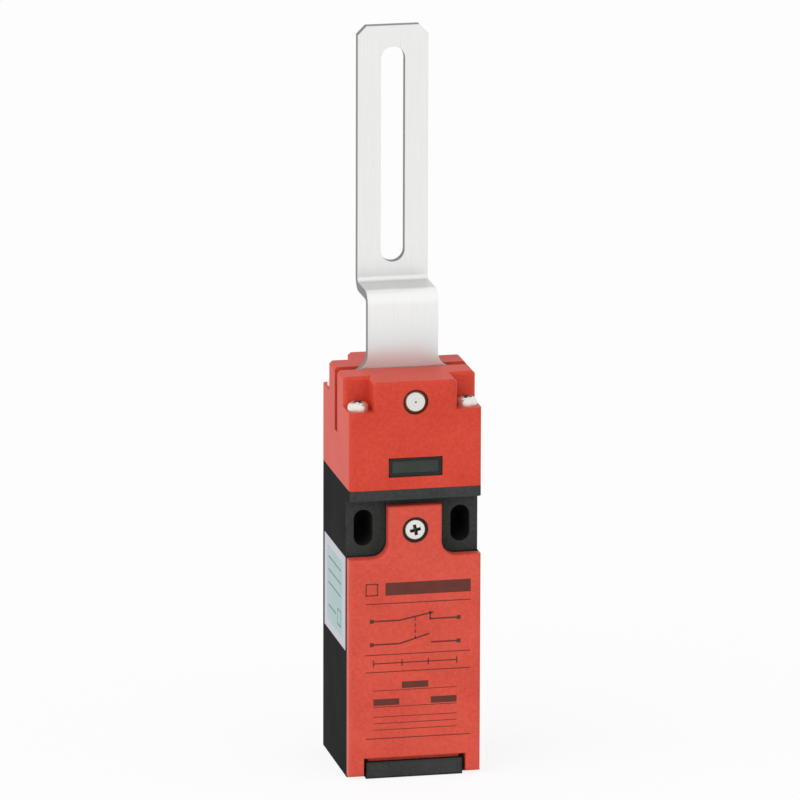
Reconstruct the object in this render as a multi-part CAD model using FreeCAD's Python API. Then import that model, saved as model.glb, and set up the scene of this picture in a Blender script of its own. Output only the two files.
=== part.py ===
import FreeCAD
import Part
import math
import os

# Lever safety switch, mm. X runs right, Y runs back from the front face, Z runs up from the base.
# The switch body stands on Z = 0 and is centred on X = Y = 0. Its back face bolts to a machine frame.

# Body and its moulded cover
body_w = 30.0
body_d = 30.0
body_h = 66.7
flange_t = 2.4
wall_t = 2.0
roof_t = 1.2
edge_r = 1.0
rim_r = 0.6
cover_t = 2.8
cover_r = 0.8
cover_foot = 0.6
cover_gap = 1.6
neck_w = 12.2
neck_r = 3.4
neck_wall = 1.5
ear_h = 13.4
ear_back = 4.3
fix_pitch = 22.0
fix_w = 4.3
fix_l = 8.3
fix_up = 6.3
tab_w = 22.0
tab_h = 3.8
tab_t = 1.6
tab_root = 1.8
cut_gap = 0.6
cut_rise = 1.1
entry_d = 16.0
entry_l = 11.0
label_h = 21.5
label_t = 0.3
label_drop = 0.4
label_front = 4.4
label_rear = 2.5

# Turret head and lever pivot
head_floor = 6.4
head_roof = 0.4
notch_h = 6.7
pin_d = 4.7
bush_t = 0.5
pin_recess = 0.7
clip_t = 0.8
clip_d = 8.0
clip_groove = 0.4
window_w = 12.2
window_h = 4.4
window_up = 5.0
window_t = 2.5
plug_sink = 0.3
peg_w = 3.0
peg_l = 2.5
core_wall = 1.5
core_w = 14.4
core_d = 4.8

# Scroll cam: its radius changes evenly with the angle, so the plunger moves in step with the lever
swing = 90.0
cam_r = 8.0
cam_rise = 2.0
cam_over = 4.5
cam_arcs = 5
follower_d = 2.4

# Lever: one stamped steel strip with a round cam foot and two bends
lever_t = 2.0
lever_w = 16.0
bend_r = 1.0
tip_cut = 2.0
slot_w = 5.5
slot_l = 49.1
slot_top = 4.8
slot_foot = 3.2
foot_rim = 1.4
foot_top = 4.0
foot_land = 0.416
lever_in = 2.6

# Plunger
plunger_w = 8.0
plunger_t = 4.8
plunger_cap = 2.2
stem_d = 4.0
seal_t = 1.6
seal_w = 1.45
guide_l = 5.5

# Contact block
base_d = 15.0
base_h = 29.0
base_drop = 0.7
channel_d = 5.0
seat_t = 2.5
carrier_h = 20.7
nc_drop = 5.0
pole_pitch = 10.0
bridge_h = 1.0
bridge_t = 0.9
bridge_out = 0.3
strip_t = 1.0
strip_h = 5.0
pad_l = 1.0
pad_h = 1.2
clamp_w = 6.0
clamp_t = 1.0
rail_h = 2.0
rail_t = 1.0
rail_rise = 6.0
rib_w = 3.0
rib_h = 2.0
spring_d = 4.8
spring_t = 0.5

# Seals between the mouldings
gasket_w = 1.0
gasket_t = 0.8
gasket_in = 0.6
gasket_up = 1.8
seal_frame = 18.8
seal_frame_w = 1.2

# Fasteners
screw_in = 2.7
screw_back = 3.8
screw_head_d = 4.7
screw_head_t = 1.2
screw_d = 2.5
post_w = 3.8
post_h = 7.1
cover_screw_d = 3.0
cover_head_d = 4.6
cover_head_t = 1.1
cover_ring_d = 5.9
ring_t = 0.7
cover_bore = 1.6
tip_wall = 0.9

# Clearances
seat_gap = 0.02
run_gap = 0.05
loose_gap = 0.1
slide_gap = 0.15
hook_gap = 0.3
notch_gap = 0.5
slot_gap = 0.4
foot_gap = 0.6
cam_gap = 0.1
rest_gap = 0.5
lie_gap = 1.5
bend_gap = 3.9
strip_gap = 1.2

# Planes and places that several pieces share
front = -body_d / 2
back = body_d / 2
side = body_w / 2
rim = front + cover_t
ear_front = front + ear_back
flange_z = body_h - flange_t
shoulder_z = flange_z - ear_h
neck_top = flange_z - cover_gap
fix_z = shoulder_z + fix_up
cut_top = tab_h + cut_rise
gasket_z = cut_top + gasket_up
cavity_x = side - wall_t
cavity_y = back - wall_t
cavity_top = shoulder_z - roof_t
neck_x = neck_w / 2 - neck_wall
guide_z = body_h - guide_l
cam_rate = cam_rise / swing
cam_last = swing + cam_over
cam_half = follower_d / 2 + cam_gap
foot_r = cam_r + cam_rate * cam_last + cam_half + foot_rim
clip_r = clip_d / 2 + 2 * slide_gap
pivot_z = body_h + head_floor + foot_gap + foot_r
head_top = pivot_z + clip_r + head_roof
notch_z = head_top - notch_h
notch_x = screw_in + screw_head_d / 2 + notch_gap
notch_y = screw_back + screw_head_d / 2 + notch_gap
bush_r = pin_d / 2 + bush_t
clip_y = back - clip_groove - 2 * clip_t
lever_set = back - lever_in - lever_t / 2
joggle_z = pivot_z + side + bend_gap + bend_r + lever_t
slot_z = joggle_z + bend_r + slot_foot
tip_z = slot_z + slot_l + slot_top
follower_z = pivot_z - cam_r
slot_half = lever_t / 2 + slot_gap
plunger_back = -slot_half - loose_gap
plunger_front = plunger_back - plunger_t
plunger_z = body_h + cam_rise + rest_gap
stem_y = (plunger_back + plunger_front) / 2
stem_z = cavity_top
neck_front = stem_y - stem_d / 2 - 2 * slide_gap
base_front = cavity_y - base_d
base_top = cavity_top - base_drop
base_z = base_top - base_h
seat_z = base_z + seat_t
nc_z = base_top - nc_drop
no_z = nc_z - pole_pitch
rail_z = base_z + rail_rise
rib_z = (nc_z + no_z) / 2
carrier_x = plunger_w / 2 - run_gap
carrier_back = base_front + channel_d - loose_gap
carrier_z = stem_z - carrier_h
spring_y = carrier_back - spring_d / 2 - loose_gap
bridge_y = base_front - strip_t / 2
bridge_x = carrier_x + bridge_out
pad_x = bridge_x + loose_gap
strip_x = pad_x + pad_l
strip_end = cavity_x - strip_gap
terminal_x = (strip_x + strip_end) / 2
clamp_y = base_front - strip_t - clamp_t
screw_x = side - screw_in
screw_y = back - screw_back
head_seat = rim - cover_bore
cover_tip = neck_front - tip_wall


def box(x0, x1, y0, y1, z0, z1):
    return Part.makeBox(x1 - x0, y1 - y0, z1 - z0, FreeCAD.Vector(x0, y0, z0))


def post(r, z0, z1, x=0.0, y=0.0):
    return Part.makeCylinder(r, z1 - z0, FreeCAD.Vector(x, y, z0))


def rod(r, y0, y1, x, z):
    return Part.makeCylinder(r, y1 - y0, FreeCAD.Vector(x, y0, z), FreeCAD.Vector(0, 1, 0))


def line(a, b):
    return Part.makeLine(a, b)


def arc(a, b, c):
    return Part.Arc(a, b, c).toShape()


def plate(edges, depth):
    # A flat face inside a closed run of edges, pushed along Y.
    return Part.Face(Part.Wire(edges)).extrude(FreeCAD.Vector(0, depth, 0))


def joined(first, *others):
    for other in others:
        first = first.fuse(other)
    return first.removeSplitter()


def without(first, *others):
    for other in others:
        first = first.cut(other)
    return first


def rounded(shape, r, chosen):
    edges = [e for e in shape.Edges if chosen(e.BoundBox)]
    return shape.makeFillet(r, edges)


def bevelled(shape, c, chosen):
    edges = [e for e in shape.Edges if chosen(e.BoundBox)]
    return shape.makeChamfer(c, edges)


def upright(b):
    return b.XLength < 1e-6 and b.YLength < 1e-6


def save(shape, name):
    shape.exportStep("parts/" + name + ".step")


def shoulder_edges(y, inset, foot, top):
    # Outline of the front: full width up to the shoulder, then concave blends into the narrow neck.
    w = side - inset
    n = neck_w / 2 - inset
    s = shoulder_z - inset
    b = neck_r + inset
    m = b * (1 - math.sqrt(0.5))

    def at(x, z):
        return FreeCAD.Vector(x, y, z)

    edges = [line(at(-w, foot), at(w, foot)), line(at(w, foot), at(w, s)), line(at(w, s), at(n + b, s))]
    edges.append(arc(at(n + b, s), at(n + m, s + m), at(n, s + b)))
    edges.append(line(at(n, s + b), at(n, top)))
    edges.append(line(at(n, top), at(-n, top)))
    edges.append(line(at(-n, top), at(-n, s + b)))
    edges.append(arc(at(-n, s + b), at(-n - m, s + m), at(-n - b, s)))
    edges.append(line(at(-n - b, s), at(-w, s)))
    edges.append(line(at(-w, s), at(-w, foot)))
    return edges


def obround(w, length, y0, y1, x, z):
    # A slot that stands upright, with round ends, cut through along Y.
    half = length / 2 - w / 2
    middle = box(x - w / 2, x + w / 2, y0, y1, z - half, z + half)
    return joined(middle, rod(w / 2, y0, y1, x, z - half), rod(w / 2, y0, y1, x, z + half))


def frame(outer, inner, y0, y1):
    return without(plate(outer, y1 - y0), plate(inner, y1 - y0))


def gasket_ring(gap, y0, y1):
    outer = shoulder_edges(y0, gasket_in - gap, gasket_z - gap, neck_top - gasket_in + gap)
    inside = gasket_in + gasket_w + gap
    inner = shoulder_edges(y0, inside, gasket_z + gasket_w + gap, neck_top - inside)
    return frame(outer, inner, y0, y1)


def corners(x, y):
    return [(sx * x, sy * y) for sx in (-1, 1) for sy in (-1, 1)]


def sides(x):
    return (-x, x)


def body_housing():
    shell = box(-side, side, ear_front, back, 0, flange_z)
    shell = rounded(shell, edge_r, lambda b: upright(b) and b.YMin > back - 0.1)
    lip = plate(shoulder_edges(rim, 0, 0, flange_z), ear_back - cover_t)
    flange = box(-side, side, front, back, flange_z, body_h)
    flange = rounded(flange, edge_r, upright)
    shell = joined(shell, lip, flange)
    shell = shell.cut(box(-cavity_x, cavity_x, rim - 1, cavity_y, entry_l, cavity_top))
    shell = shell.cut(box(-neck_x, neck_x, neck_front, cavity_y, cavity_top - 1, guide_z))
    # Plunger guide bore with the pocket for its seal
    shell = shell.cut(post(stem_d / 2 + run_gap, guide_z - 1, body_h + 1, 0, stem_y))
    shell = shell.cut(post(stem_d / 2 + run_gap + seal_w, body_h - seal_t, body_h + 1, 0, stem_y))
    # Cable entry in the base, upright fixing slots in the ears
    shell = shell.cut(post(entry_d / 2, -1, entry_l + 1))
    for x in sides(fix_pitch / 2):
        shell = shell.cut(obround(fix_w, fix_l, front, back + 1, x, fix_z))
    shell = shell.cut(rod(cover_screw_d / 2 + seat_gap, rim - 1, cover_tip + loose_gap, 0, fix_z))
    # Tab that holds the foot of the cover, with a slot behind it for the hook
    tab = box(-tab_w / 2, tab_w / 2, front, front + tab_t, 0, tab_h)
    tab = bevelled(tab, rim_r, lambda b: b.YMax < front + 1e-6)
    root = box(-tab_w / 2, tab_w / 2, front + tab_t - rim_r, rim, 0, tab_root)
    shell = joined(shell, tab, root)
    for x in sides(cavity_x - rail_t / 2):
        rail = box(x - rail_t / 2, x + rail_t / 2, base_front, cavity_y, rail_z, rail_z + rail_h)
        shell = shell.fuse(rail)
    # Square corner posts that locate the head and take its screws
    half = post_w / 2
    for x, y in corners(screw_x, screw_y):
        shell = shell.fuse(box(x - half, x + half, y - half, y + half, body_h - rim_r, body_h + post_h))
        shell = shell.cut(post(screw_d / 2 + seat_gap, flange_z + rim_r, head_top, x, y))
    shell = shell.cut(gasket_ring(run_gap, rim, rim + gasket_t))
    return shell.cut(side_label(loose_gap)).removeSplitter()


def side_label(gap):
    top = shoulder_z - label_drop
    return box(-side, label_t - side, front + label_front - gap, back - label_rear + gap,
               top - label_h - gap, top + gap)


def front_cover():
    cover = plate(shoulder_edges(front, 0, cover_foot, neck_top), cover_t)
    cover = rounded(cover, cover_r, lambda b: b.YMax < front + 1e-6)
    half = tab_w / 2 + cut_gap
    cover = cover.cut(box(-half, half, front - 1, rim + 1, -1, cut_top))
    cover = cover.cut(rod(cover_screw_d / 2 + slide_gap, front - 1, rim + 1, 0, fix_z))
    cover = cover.cut(rod(cover_ring_d / 2, front - 1, head_seat, 0, fix_z))
    # Hook that goes down behind the tab of the body
    hook = box(-tab_w / 2 + cut_gap, tab_w / 2 - cut_gap, front + tab_t + loose_gap, rim - loose_gap,
               tab_root + hook_gap, cut_top + rim_r)
    cover = joined(cover, hook)
    # Ribs that keep the contact block on its rails
    for x in sides(cavity_x - rib_w / 2 - 2 * loose_gap):
        rib = box(x - rib_w / 2, x + rib_w / 2, rim - rim_r, base_front, rib_z - rib_h / 2, rib_z + rib_h / 2)
        cover = cover.fuse(rib)
    return cover.removeSplitter()


def cover_screw():
    head = rod(cover_head_d / 2, head_seat - cover_head_t, head_seat, 0, fix_z)
    head = bevelled(head, rim_r / 2, lambda b: b.YMax < head_seat - cover_head_t + 1e-6)
    return joined(head, rod(cover_screw_d / 2, head_seat, cover_tip, 0, fix_z))


def screw_seal():
    # Rubber ring in the recess round the head of the cover screw
    ring = rod(cover_ring_d / 2 - seat_gap, head_seat - ring_t, head_seat, 0, fix_z)
    return ring.cut(rod(cover_head_d / 2 + seat_gap, front, rim, 0, fix_z))


def head_slot():
    # Room for the lever foot to turn and for the lever to lie flat on either side.
    r = foot_r + foot_gap
    turn = rod(r, -slot_half, slot_half, 0, pivot_z)
    band = box(-side - 1, side + 1, -slot_half, slot_half, pivot_z - lever_w / 2 - lie_gap, head_top + 1)
    return joined(turn, band)


def head_housing():
    head = box(-side, side, front, back, body_h, head_top)
    for sx, sy in corners(1, 1):
        x = sx * side
        y = sy * back
        head = head.cut(box(min(x, x - sx * notch_x), max(x, x - sx * notch_x),
                            min(y, y - sy * notch_y), max(y, y - sy * notch_y), notch_z, head_top))

    def outer(b):
        return upright(b) and (abs(b.XMin) > side - 1e-6 or abs(b.YMin) > back - 1e-6)

    head = rounded(head, edge_r, outer)
    head = bevelled(head, rim_r, lambda b: b.ZMin > head_top - 1e-6)
    head = head.cut(head_slot())
    # Pivot bores, front and rear, with the clip recess behind
    head = head.cut(rod(bush_r + seat_gap, front - 1, back + 1, 0, pivot_z))
    head = head.cut(rod(clip_r, clip_y - loose_gap, back + 1, 0, pivot_z))
    # Plunger channel, open below and open to the lever slot
    half = plunger_w / 2 + slide_gap
    channel_top = follower_z + cam_rise + plunger_cap + 2 * slide_gap
    head = head.cut(box(-half, half, plunger_front - slide_gap, 0, body_h - 1, channel_top))
    # Moulding core behind the slot
    core = slot_half + core_wall
    core_top = pivot_z - bush_r - wall_t
    head = head.cut(box(-core_w / 2, core_w / 2, core, core + core_d, body_h - 1, core_top))
    half = post_w / 2 + run_gap
    for x, y in corners(screw_x, screw_y):
        head = head.cut(post(screw_d / 2 + slide_gap, body_h - 1, notch_z + 1, x, y))
        head = head.cut(box(x - half, x + half, y - half, y + half, body_h - 1, body_h + post_h + loose_gap))
    w = window_w / 2
    low = body_h + window_up - window_h / 2
    head = head.cut(box(-w, w, front - 1, front + window_t, low, low + window_h))
    half = peg_w / 2 + seat_gap
    mid = low + window_h / 2
    head = head.cut(box(-half, half, front, front + window_t + peg_l + loose_gap, mid - half, mid + half))
    return head.cut(seal_ring(run_gap)).removeSplitter()


def seal_ring(gap):
    out = seal_frame / 2 + gap
    inn = seal_frame / 2 - seal_frame_w - gap
    ring = box(-out, out, -out, out, body_h, body_h + gasket_t)
    return ring.cut(box(-inn, inn, -inn, inn, body_h, body_h + gasket_t))


def head_screws():
    screws = []
    for x, y in corners(screw_x, screw_y):
        head = post(screw_head_d / 2, notch_z, notch_z + screw_head_t, x, y)
        head = bevelled(head, rim_r / 2, lambda b: b.ZMin > notch_z + screw_head_t - 1e-6)
        screws.append(joined(head, post(screw_d / 2, body_h, notch_z, x, y)))
    return Part.makeCompound(screws)


def window_plug():
    w = window_w / 2 - slide_gap
    h = window_h / 2 - slide_gap
    z = body_h + window_up
    face = box(-w, w, front + plug_sink, front + window_t, z - h, z + h)
    face = rounded(face, rim_r / 2, lambda b: b.YMax < front + plug_sink + 1e-6)
    half = peg_w / 2
    peg = box(-half, half, front + window_t - rim_r, front + window_t + peg_l, z - half, z + half)
    return joined(face, peg)


def pivot_bush(y0, y1):
    return rod(bush_r, y0, y1, 0, pivot_z).cut(rod(pin_d / 2 + run_gap, y0, y1, 0, pivot_z))


def pivot_pin():
    end = clip_y + 2 * clip_t
    pin = rod(pin_d / 2, front + loose_gap, end, 0, pivot_z)
    pin = bevelled(pin, rim_r / 2, lambda b: b.YMax < front + loose_gap + 1e-6)
    groove = rod(pin_d, clip_y, clip_y + clip_t + run_gap, 0, pivot_z)
    return pin.cut(groove.cut(rod(pin_d / 2 - clip_groove, clip_y, end, 0, pivot_z)))


def pivot_clip():
    ring = rod(clip_d / 2, clip_y, clip_y + clip_t, 0, pivot_z)
    ring = ring.cut(rod(pin_d / 2 - clip_groove + seat_gap, clip_y, clip_y + clip_t, 0, pivot_z))
    gap = pin_d / 4
    return ring.cut(box(-gap, gap, clip_y, clip_y + clip_t, pivot_z - clip_d, pivot_z))


def scroll(angle, reach):
    # Middle line of the scroll, moved sideways by reach. The angle starts at straight down, in degrees.
    r = cam_r - cam_rate * angle
    a = math.radians(angle)
    out = FreeCAD.Vector(-math.sin(a), 0, -math.cos(a))
    along = FreeCAD.Vector(-math.cos(a), 0, math.sin(a)) * r + out * (-math.degrees(cam_rate))
    along.normalize()
    normal = FreeCAD.Vector(along.z, 0, -along.x)
    spot = FreeCAD.Vector(0, -lever_t, pivot_z) + out * r + normal * reach
    return spot, along


def scroll_slot():
    # Each wall is a run of arcs, each through three spots on the scroll.
    h = cam_half
    last = cam_last
    step = last / cam_arcs
    edges = []
    for i in range(cam_arcs):
        a = -last + 2 * step * i
        for reach in (h, -h):
            spots = [scroll(a + step * k, reach)[0] for k in range(3)]
            edges.append(arc(*spots))
    for angle, way in ((-last, -1), (last, 1)):
        spot, along = scroll(angle, 0)
        edges.append(arc(scroll(angle, h)[0], spot + along * (way * h), scroll(angle, -h)[0]))
    ordered = Part.sortEdges(edges)[0]
    return plate(ordered, 2 * lever_t)


def lever_strip():
    # Side view of the bent strip: low blade in the middle of the head, high blade near the back.
    t = lever_t / 2
    b = bend_r
    o = bend_r + lever_t
    k = math.sqrt(0.5)
    top = joggle_z
    tip = tip_z
    low = top - o
    high = top + b
    y1 = o - t
    y2 = lever_set - t - b
    x = -lever_w / 2

    def at(y, z):
        return FreeCAD.Vector(x, y, z)

    edges = [line(at(-t, pivot_z), at(-t, low))]
    edges.append(arc(at(-t, low), at(y1 - o * k, low + o * k), at(y1, top)))
    edges.append(line(at(y1, top), at(y2, top)))
    edges.append(arc(at(y2, top), at(y2 + b * k, high - b * k), at(y2 + b, high)))
    edges.append(line(at(y2 + b, high), at(y2 + b, tip)))
    edges.append(line(at(y2 + b, tip), at(y2 + o, tip)))
    edges.append(line(at(y2 + o, tip), at(y2 + o, high)))
    edges.append(arc(at(y2 + o, high), at(y2 + o * k, high - o * k), at(y2, top - lever_t)))
    edges.append(line(at(y2, top - lever_t), at(y1, top - lever_t)))
    edges.append(arc(at(y1, top - lever_t), at(y1 - b * k, low + b * k), at(t, low)))
    edges.append(line(at(t, low), at(t, pivot_z)))
    edges.append(line(at(t, pivot_z), at(-t, pivot_z)))
    return Part.Face(Part.Wire(edges)).extrude(FreeCAD.Vector(lever_w, 0, 0))


def lever():
    strip = lever_strip()
    ends = [e for e in strip.Edges if e.BoundBox.ZMin > tip_z - 1e-6 and e.BoundBox.XLength < 1e-6]
    strip = strip.makeChamfer(tip_cut, ends)
    # The foot is a disc with a level shoulder, blended into the blade on either side.
    waist = pivot_z + foot_top
    foot = rod(foot_r, -lever_t / 2, lever_t / 2, 0, pivot_z)
    foot = foot.cut(box(-foot_r, foot_r, -lever_t, lever_t, waist, waist + foot_r))
    shape = joined(strip, foot)
    reach = math.sqrt(foot_r ** 2 - foot_top ** 2) - lever_w / 2
    shape = rounded(shape, reach - foot_land, lambda b: b.XLength < 1e-6 and b.ZLength < 1e-6
                    and abs(b.ZMin - waist) < 1e-3 and abs(b.XMin) < lever_w / 2 + 1e-3)
    shape = shape.cut(obround(slot_w, slot_l, 0, back + 1, 0, slot_z + slot_l / 2))
    shape = shape.cut(rod(pin_d / 2 + seat_gap, -lever_t, lever_t, 0, pivot_z))
    return shape.cut(scroll_slot())


def plunger():
    bar = box(-plunger_w / 2, plunger_w / 2, plunger_front, plunger_back, plunger_z, follower_z + plunger_cap)
    stem = post(stem_d / 2, stem_z, plunger_z + rim_r, 0, stem_y)
    body = joined(bar, stem)
    return body.cut(rod(follower_d / 2 + seat_gap, plunger_front - 1, plunger_back + 1, 0, follower_z))


def follower_pin():
    return rod(follower_d / 2, plunger_front + loose_gap, slot_half - loose_gap, 0, follower_z)


def plunger_seal():
    ring = post(stem_d / 2 + run_gap + seal_w - seat_gap, body_h - seal_t, body_h, 0, stem_y)
    return ring.cut(post(stem_d / 2 + run_gap, body_h - seal_t, body_h, 0, stem_y))


def contact_base():
    w = cavity_x - slide_gap
    block = box(-w, w, base_front, cavity_y, base_z, base_top)
    half = plunger_w / 2 + run_gap
    block = block.cut(box(-half, half, base_front - 1, base_front + channel_d, seat_z, base_top + 1))
    for x in sides(cavity_x):
        gap = loose_gap + rail_t
        block = block.cut(box(x - gap, x + gap, base_front - 1, cavity_y + 1,
                              rail_z - run_gap, rail_z + rail_h + run_gap))
    return block


def contact_carrier():
    body = box(-carrier_x, carrier_x, neck_front + slide_gap, carrier_back, carrier_z, stem_z)
    h = bridge_h / 2 + seat_gap
    t = bridge_t / 2 + seat_gap
    for z in (nc_z, no_z - cam_rise, no_z + cam_rise):
        body = body.cut(box(-side, side, bridge_y - t, bridge_y + t, z - h, z + h))
    return body


def bridge(z):
    h = bridge_h / 2
    t = bridge_t / 2
    return box(-bridge_x, bridge_x, bridge_y - t, bridge_y + t, z - h, z + h)


def fixed_contacts(z):
    # A strip under each terminal clamp, ending in a pad that faces the moving bridge.
    strips = []
    for way in (-1, 1):
        ends = sorted((way * strip_x, way * strip_end))
        strip = box(ends[0], ends[1], base_front - strip_t, base_front, z - strip_h / 2, z + strip_h / 2)
        ends = sorted((way * pad_x, way * strip_x))
        pad = box(ends[0], ends[1], base_front - strip_t, base_front, z - pad_h / 2, z + pad_h / 2)
        strips.append(joined(strip, pad))
    return Part.makeCompound(strips)


def terminal_clamps():
    clamps = []
    half = clamp_w / 2
    for x in sides(terminal_x):
        for z in (nc_z, no_z):
            clamps.append(box(x - half, x + half, clamp_y, clamp_y + clamp_t, z - half, z + half))
    return Part.makeCompound(clamps)


def return_spring():
    outer = post(spring_d / 2, seat_z, carrier_z, 0, spring_y)
    return outer.cut(post(spring_d / 2 - spring_t, seat_z, carrier_z, 0, spring_y))


os.makedirs("parts", exist_ok=True)
save(body_housing(), "body_housing")
save(front_cover(), "front_cover")
save(gasket_ring(0.0, rim, rim + gasket_t), "cover_gasket")
save(cover_screw(), "cover_screw")
save(screw_seal(), "screw_seal")
save(side_label(0.0), "side_label")
save(head_housing(), "head_housing")
save(seal_ring(0.0), "head_gasket")
save(head_screws(), "head_screws")
save(window_plug(), "window_plug")
save(pivot_bush(front + pin_recess, -slot_half), "front_bush")
save(pivot_bush(slot_half, clip_y - loose_gap), "rear_bush")
save(pivot_pin(), "pivot_pin")
save(pivot_clip(), "pivot_clip")
save(lever(), "lever")
save(plunger(), "plunger")
save(follower_pin(), "follower_pin")
save(plunger_seal(), "plunger_seal")
save(contact_base(), "contact_base")
save(contact_carrier(), "contact_carrier")
save(bridge(nc_z), "nc_bridge")
save(Part.makeCompound([bridge(no_z - cam_rise), bridge(no_z + cam_rise)]), "no_bridges")
save(fixed_contacts(nc_z), "nc_contacts")
save(fixed_contacts(no_z), "no_contacts")
save(terminal_clamps(), "terminal_clamps")
save(return_spring(), "return_spring")
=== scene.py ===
import math
import bpy
import numpy as np
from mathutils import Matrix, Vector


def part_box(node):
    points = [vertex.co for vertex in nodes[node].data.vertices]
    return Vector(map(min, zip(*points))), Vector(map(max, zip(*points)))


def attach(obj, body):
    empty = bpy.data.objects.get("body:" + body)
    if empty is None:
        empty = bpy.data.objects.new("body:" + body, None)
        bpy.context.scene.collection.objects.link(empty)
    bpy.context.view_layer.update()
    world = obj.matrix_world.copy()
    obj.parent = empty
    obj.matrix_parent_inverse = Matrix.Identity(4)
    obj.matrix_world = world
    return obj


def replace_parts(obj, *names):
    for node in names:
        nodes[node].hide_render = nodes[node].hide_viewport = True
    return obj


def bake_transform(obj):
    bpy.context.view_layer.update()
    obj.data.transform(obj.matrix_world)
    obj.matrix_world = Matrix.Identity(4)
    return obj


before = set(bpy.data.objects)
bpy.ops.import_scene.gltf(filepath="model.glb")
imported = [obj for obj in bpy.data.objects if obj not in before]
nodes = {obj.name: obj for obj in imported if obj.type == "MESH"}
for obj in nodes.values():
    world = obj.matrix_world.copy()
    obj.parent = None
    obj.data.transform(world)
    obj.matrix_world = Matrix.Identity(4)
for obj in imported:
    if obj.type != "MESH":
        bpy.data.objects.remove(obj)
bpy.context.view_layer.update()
mm = 0.001
print("frame loaded:", len(nodes), "pieces of the switch")


def toLinear(hexColour):  # sRGB hex to linear red, green, blue and alpha, by the standard curve
    c = np.array([int(hexColour[i:i + 2], 16) for i in (1, 3, 5)]) / 255
    c = np.where(c <= 0.04045, c / 12.92, ((c + 0.055) / 1.055) ** 2.4)
    return (*c.tolist(), 1.0)


def add(tree, kind, values=None, links=None, **settings):  # one node, with its values and what feeds it
    node = tree.nodes.new(kind)
    for key, value in settings.items():
        setattr(node, key, value)
    for key, value in (values or {}).items():
        node.inputs[key].default_value = value
    for key, source in (links or {}).items():
        tree.links.new(source, node.inputs[key])
    return node


def emptyMaterial(name):  # a material and its node tree, with nothing in it yet
    material = bpy.data.materials.new(name)
    material.use_nodes = True
    material.node_tree.nodes.clear()
    return material, material.node_tree


# Shared by the finishes: how each noise is worked, and the span in which most of a noise lies.
grainNoise = {"Detail": 3.0, "Roughness": 0.6}
driftNoise = {"Detail": 2.0, "Roughness": 0.5}
lineNoise = {"Scale": 1.0, "Detail": 4.0, "Roughness": 0.65}
noiseSpan = {"From Min": 0.3, "From Max": 0.7}
noisePairSpan = {"From Min": 0.7, "From Max": 1.3}  # two noises added
# A normal's share along one axis: 0 to 1 as the face turns towards that axis, or as it turns away.
turnedTo = {"From Min": 0.35, "From Max": 0.6}
turnedAway = {"From Min": 0.6, "From Max": 0.35}
edgeRays = 4  # samples of each soft edge


# Mouldings: glass-filled polyamide and its kin, shot in a spark-eroded tool. The eye gets an even satin
# skin with a fine grain, slow drifts of tone, and edges that the tool left a little soft, so they catch the
# light. Real grain is about 0.1 mm, too fine to show here, so it is drawn up to seven times as coarse.
# Faces that look sideways, along the tool's draw from front to back, are darkened as painted shade: the
# share given is the part of their tone that they keep.
moulding = dict(driftShare={"To Min": 0.2, "To Max": 0.8}, grainShare={"To Min": -0.4, "To Max": 0.4},
                roughSpread=0.05, relief=0.6)


def mouldedPlastic(name, tone, paleTone, rough, grainMm, grainDepthMm, driftMm, edgeMm, ior, sheen,
                   sideShade=None):
    material, tree = emptyMaterial(name)
    coords = add(tree, "ShaderNodeTexCoord")
    spot = coords.outputs["Object"]
    grain = add(tree, "ShaderNodeTexNoise", {"Scale": 1 / (grainMm * mm), **grainNoise}, {"Vector": spot})
    drift = add(tree, "ShaderNodeTexNoise", {"Scale": 1 / (driftMm * mm), **driftNoise}, {"Vector": spot})
    broad = add(tree, "ShaderNodeMapRange", {**noiseSpan, **moulding["driftShare"]},
                {"Value": drift.outputs["Fac"]})
    fine = add(tree, "ShaderNodeMapRange", {**noiseSpan, **moulding["grainShare"]},
               {"Value": grain.outputs["Fac"]})
    share = add(tree, "ShaderNodeMath", None, {0: broad.outputs["Result"], 1: fine.outputs["Result"]},
                operation="ADD", use_clamp=True)
    colour = add(tree, "ShaderNodeMix", {"A": toLinear(tone), "B": toLinear(paleTone)},
                 {"Factor": share.outputs["Value"]}, data_type="RGBA")
    # painted shade: faces that look sideways keep only a share of their tone
    if sideShade:
        facing = add(tree, "ShaderNodeSeparateXYZ", None, {"Vector": coords.outputs["Normal"]})
        upright = add(tree, "ShaderNodeMath", None, {0: facing.outputs["Y"]}, operation="ABSOLUTE")
        wall = add(tree, "ShaderNodeMapRange", turnedAway, {"Value": upright.outputs["Value"]})
        colour = add(tree, "ShaderNodeMix", {"B": (sideShade, sideShade, sideShade, 1)},
                     {"Factor": wall.outputs["Result"], "A": colour.outputs["Result"]},
                     data_type="RGBA", blend_type="MULTIPLY")
    spread = moulding["roughSpread"]
    skin = add(tree, "ShaderNodeMapRange",
               {**noiseSpan, "To Min": rough - spread, "To Max": rough + spread},
               {"Value": grain.outputs["Fac"]})
    soft = add(tree, "ShaderNodeBevel", {"Radius": edgeMm * mm}, samples=edgeRays)
    relief = add(tree, "ShaderNodeBump", {"Strength": moulding["relief"], "Distance": grainDepthMm * mm},
                 {"Height": grain.outputs["Fac"], "Normal": soft.outputs["Normal"]})
    shade = add(tree, "ShaderNodeBsdfPrincipled", {"IOR": ior, "Specular IOR Level": sheen},
                {"Base Color": colour.outputs["Result"], "Roughness": skin.outputs["Result"],
                 "Normal": relief.outputs["Normal"]})
    add(tree, "ShaderNodeOutputMaterial", None, {"Surface": shade.outputs["BSDF"]})
    return material


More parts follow.
